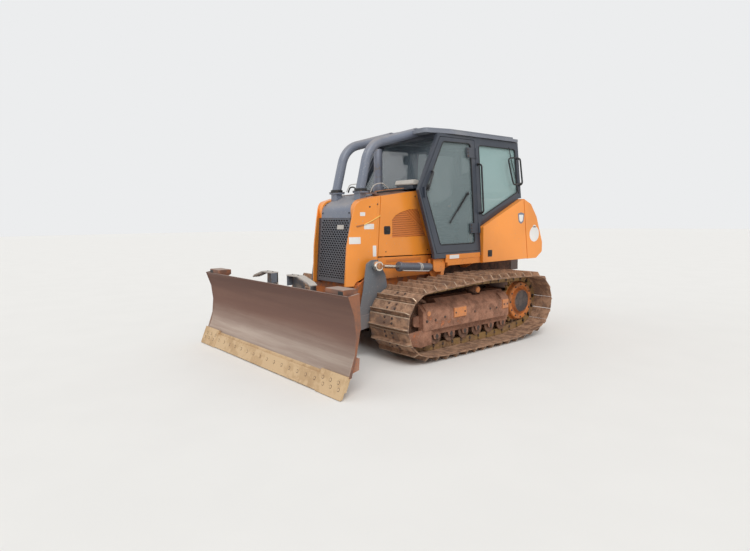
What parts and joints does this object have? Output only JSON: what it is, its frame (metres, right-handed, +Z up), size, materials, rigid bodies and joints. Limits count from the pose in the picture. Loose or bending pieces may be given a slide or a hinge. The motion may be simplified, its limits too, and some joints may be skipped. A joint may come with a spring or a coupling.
{
  "type": "crawler bulldozer",
  "caption": "Enclosed-cab crawler bulldozer on two shoe tracks with a lifting, angling and tilting front blade on a push frame and hydraulic cylinders.",
  "frame": {"origin": "middle of the machine's footprint, on the ground", "axes": "+X to the machine's left, +Y to its rear, +Z up; the blade faces -Y"},
  "size_m": [3.15, 4.393, 2.7941],
  "materials": {
    "orange": "weathered satin",
    "charcoal": "satin",
    "grey_paint": "dusty satin",
    "black_paint": "satin",
    "dusty_paint": "mud over paint",
    "track_steel": "muddy with worn edges",
    "blade_steel": "scoured",
    "edge_steel": "dusty",
    "bright_rod": "polished",
    "glazing": "clear",
    "seat_cloth": "woven",
    "trim_plastic": "matte"
  },
  "bodies": {
    "root": {"front_panels": "orange", "hood_top": "orange", "rear_body": "orange", "cab_sides": "charcoal", "cab_lining": "charcoal", "cab_walls": "charcoal", "cab_roof": "charcoal", "grab_rails": "charcoal", "sweeps": "grey_paint", "hood_shroud": "grey_paint", "exhaust_stack": "grey_paint", "grille": "grey_paint", "radiator": "grey_paint", "sills": "black_paint", "engine_block": "black_paint", "hull_sides": "dusty_paint", "hull_plates": "dusty_paint", "cross_members": "dusty_paint", "cross_shafts": "dusty_paint", "hood_frame": "dusty_paint", "lift_brackets": "dusty_paint", "track_frames": "dusty_paint", "rollers": "dusty_paint", "idlers": "dusty_paint", "sprockets": "dusty_paint", "drawbar": "dusty_paint", "track_l": "track_steel", "track_r": "track_steel", "windshield": "glazing", "cab_glass": "glazing", "seat": "seat_cloth", "console": "trim_plastic", "work_lamps": "trim_plastic"},
    "c_frame": {"lift_frame": "dusty_paint"},
    "swivel": {"blade_swivel": "dusty_paint"},
    "blade": {"moldboard": "blade_steel", "blade_back": "dusty_paint", "cutting_edge": "edge_steel"},
    "lift_barrel_l": {"lift_barrel_l": "black_paint"},
    "lift_rod_l": {"lift_rod_l": "bright_rod"},
    "lift_barrel_r": {"lift_barrel_r": "black_paint"},
    "lift_rod_r": {"lift_rod_r": "bright_rod"},
    "angle_barrel_l": {"angle_barrel_l": "black_paint"},
    "angle_rod_l": {"angle_rod_l": "bright_rod"},
    "angle_barrel_r": {"angle_barrel_r": "black_paint"},
    "angle_rod_r": {"angle_rod_r": "bright_rod"},
    "tilt_barrel": {"tilt_barrel": "black_paint"},
    "tilt_rod": {"tilt_rod": "bright_rod"},
    "cab_door_l": {"cab_door_l": "charcoal", "door_glass_l": "glazing"},
    "cab_door_r": {"cab_door_r": "charcoal", "door_glass_r": "glazing"},
    "engine_door_l": {"engine_door_l": "orange"},
    "engine_door_r": {"engine_door_r": "orange"},
    "rear_door_l": {"rear_door_l": "orange"},
    "rear_door_r": {"rear_door_r": "orange"}
  },
  "joints": [
    {"name": "lift", "type": "hinge", "parent": "root", "child": "c_frame", "pos_m": [0, -0.4005, 0.52], "axis": [-1, 0, 0], "range_deg": [-16, 24]},
    {"name": "angle", "type": "hinge", "parent": "c_frame", "child": "swivel", "pos_m": [0, -1.7005, 0.445], "axis": [0, 0, 1], "range_deg": [-25, 25]},
    {"name": "tilt", "type": "hinge", "parent": "swivel", "child": "blade", "pos_m": [0, -1.9205, 0.445], "axis": [0, -1, 0], "range_deg": [-8, 8]},
    {"name": "lift_barrel_pin_l", "type": "hinge", "parent": "root", "child": "lift_barrel_l", "pos_m": [0.62, -0.0105, 1.005], "axis": [-1, 0, 0], "range_deg": [-11, 16]},
    {"name": "lift_rod_run_l", "type": "slide", "parent": "lift_barrel_l", "child": "lift_rod_l", "axis": [0, -0.9965, 0.0837], "range_m": [-0.226, 0.152]},
    {"name": "angle_barrel_pin_l", "type": "hinge", "parent": "c_frame", "child": "angle_barrel_l", "pos_m": [0.22, -1.5505, 0.445], "axis": [0, 0, 1], "range_deg": [-30, 30]},
    {"name": "angle_rod_run_l", "type": "slide", "parent": "angle_barrel_l", "child": "angle_rod_l", "axis": [0.881, -0.4731, 0], "range_m": [-0.093, 0.093]},
    {"name": "lift_barrel_pin_r", "type": "hinge", "parent": "root", "child": "lift_barrel_r", "pos_m": [-0.62, -0.0105, 1.005], "axis": [-1, 0, 0], "range_deg": [-11, 16]},
    {"name": "lift_rod_run_r", "type": "slide", "parent": "lift_barrel_r", "child": "lift_rod_r", "axis": [0, -0.9965, 0.0837], "range_m": [-0.226, 0.152]},
    {"name": "angle_barrel_pin_r", "type": "hinge", "parent": "c_frame", "child": "angle_barrel_r", "pos_m": [-0.22, -1.5505, 0.445], "axis": [0, 0, 1], "range_deg": [-30, 30]},
    {"name": "angle_rod_run_r", "type": "slide", "parent": "angle_barrel_r", "child": "angle_rod_r", "axis": [-0.881, -0.4731, 0], "range_m": [-0.093, 0.093]},
    {"name": "tilt_barrel_pin", "type": "hinge", "parent": "swivel", "child": "tilt_barrel", "pos_m": [-0.15, -1.8605, 0.78], "axis": [0, -1, 0], "range_deg": [-6.2, 6.2]},
    {"name": "tilt_rod_run", "type": "slide", "parent": "tilt_barrel", "child": "tilt_rod", "axis": [1, 0, 0], "range_m": [-0.049, 0.049]},
    {"name": "cab_door_hinge_l", "type": "hinge", "parent": "root", "child": "cab_door_l", "pos_m": [0.709, 0.7995, 1.181], "axis": [-0.0714, 0, 0.9974], "range_deg": [0, 90]},
    {"name": "engine_door_hinge_l", "type": "hinge", "parent": "root", "child": "engine_door_l", "pos_m": [0.491, 0.1145, 1.162], "axis": [0, -0.3056, 0.9522], "range_deg": [0, 30]},
    {"name": "rear_door_hinge_l", "type": "hinge", "parent": "root", "child": "rear_door_l", "pos_m": [0.745, 1.8265, 1.022], "axis": [0, -0.1288, 0.9917], "range_deg": [0, 80]},
    {"name": "cab_door_hinge_r", "type": "hinge", "parent": "root", "child": "cab_door_r", "pos_m": [-0.709, 0.7995, 1.181], "axis": [-0.0714, 0, -0.9974], "range_deg": [0, 90]},
    {"name": "engine_door_hinge_r", "type": "hinge", "parent": "root", "child": "engine_door_r", "pos_m": [-0.491, 0.1145, 1.162], "axis": [0, 0.3056, -0.9522], "range_deg": [0, 30]},
    {"name": "rear_door_hinge_r", "type": "hinge", "parent": "root", "child": "rear_door_r", "pos_m": [-0.745, 1.8265, 1.022], "axis": [0, 0.1288, -0.9917], "range_deg": [0, 80]}
  ],
  "couplings": [
    {"joint": "lift_barrel_pin_l", "follows": "lift", "ratio": 0.641},
    {"joint": "lift_rod_run_l", "follows": "lift", "m_per_rad": -0.5345},
    {"joint": "angle_barrel_pin_l", "follows": "angle", "ratio": 1.18},
    {"joint": "angle_rod_run_l", "follows": "angle", "m_per_rad": -0.209},
    {"joint": "lift_barrel_pin_r", "follows": "lift", "ratio": 0.641},
    {"joint": "lift_rod_run_r", "follows": "lift", "m_per_rad": -0.5345},
    {"joint": "angle_barrel_pin_r", "follows": "angle", "ratio": 1.18},
    {"joint": "angle_rod_run_r", "follows": "angle", "m_per_rad": 0.209},
    {"joint": "tilt_barrel_pin", "follows": "tilt", "ratio": 0.729},
    {"joint": "tilt_rod_run", "follows": "tilt", "m_per_rad": -0.3346}
  ]
}
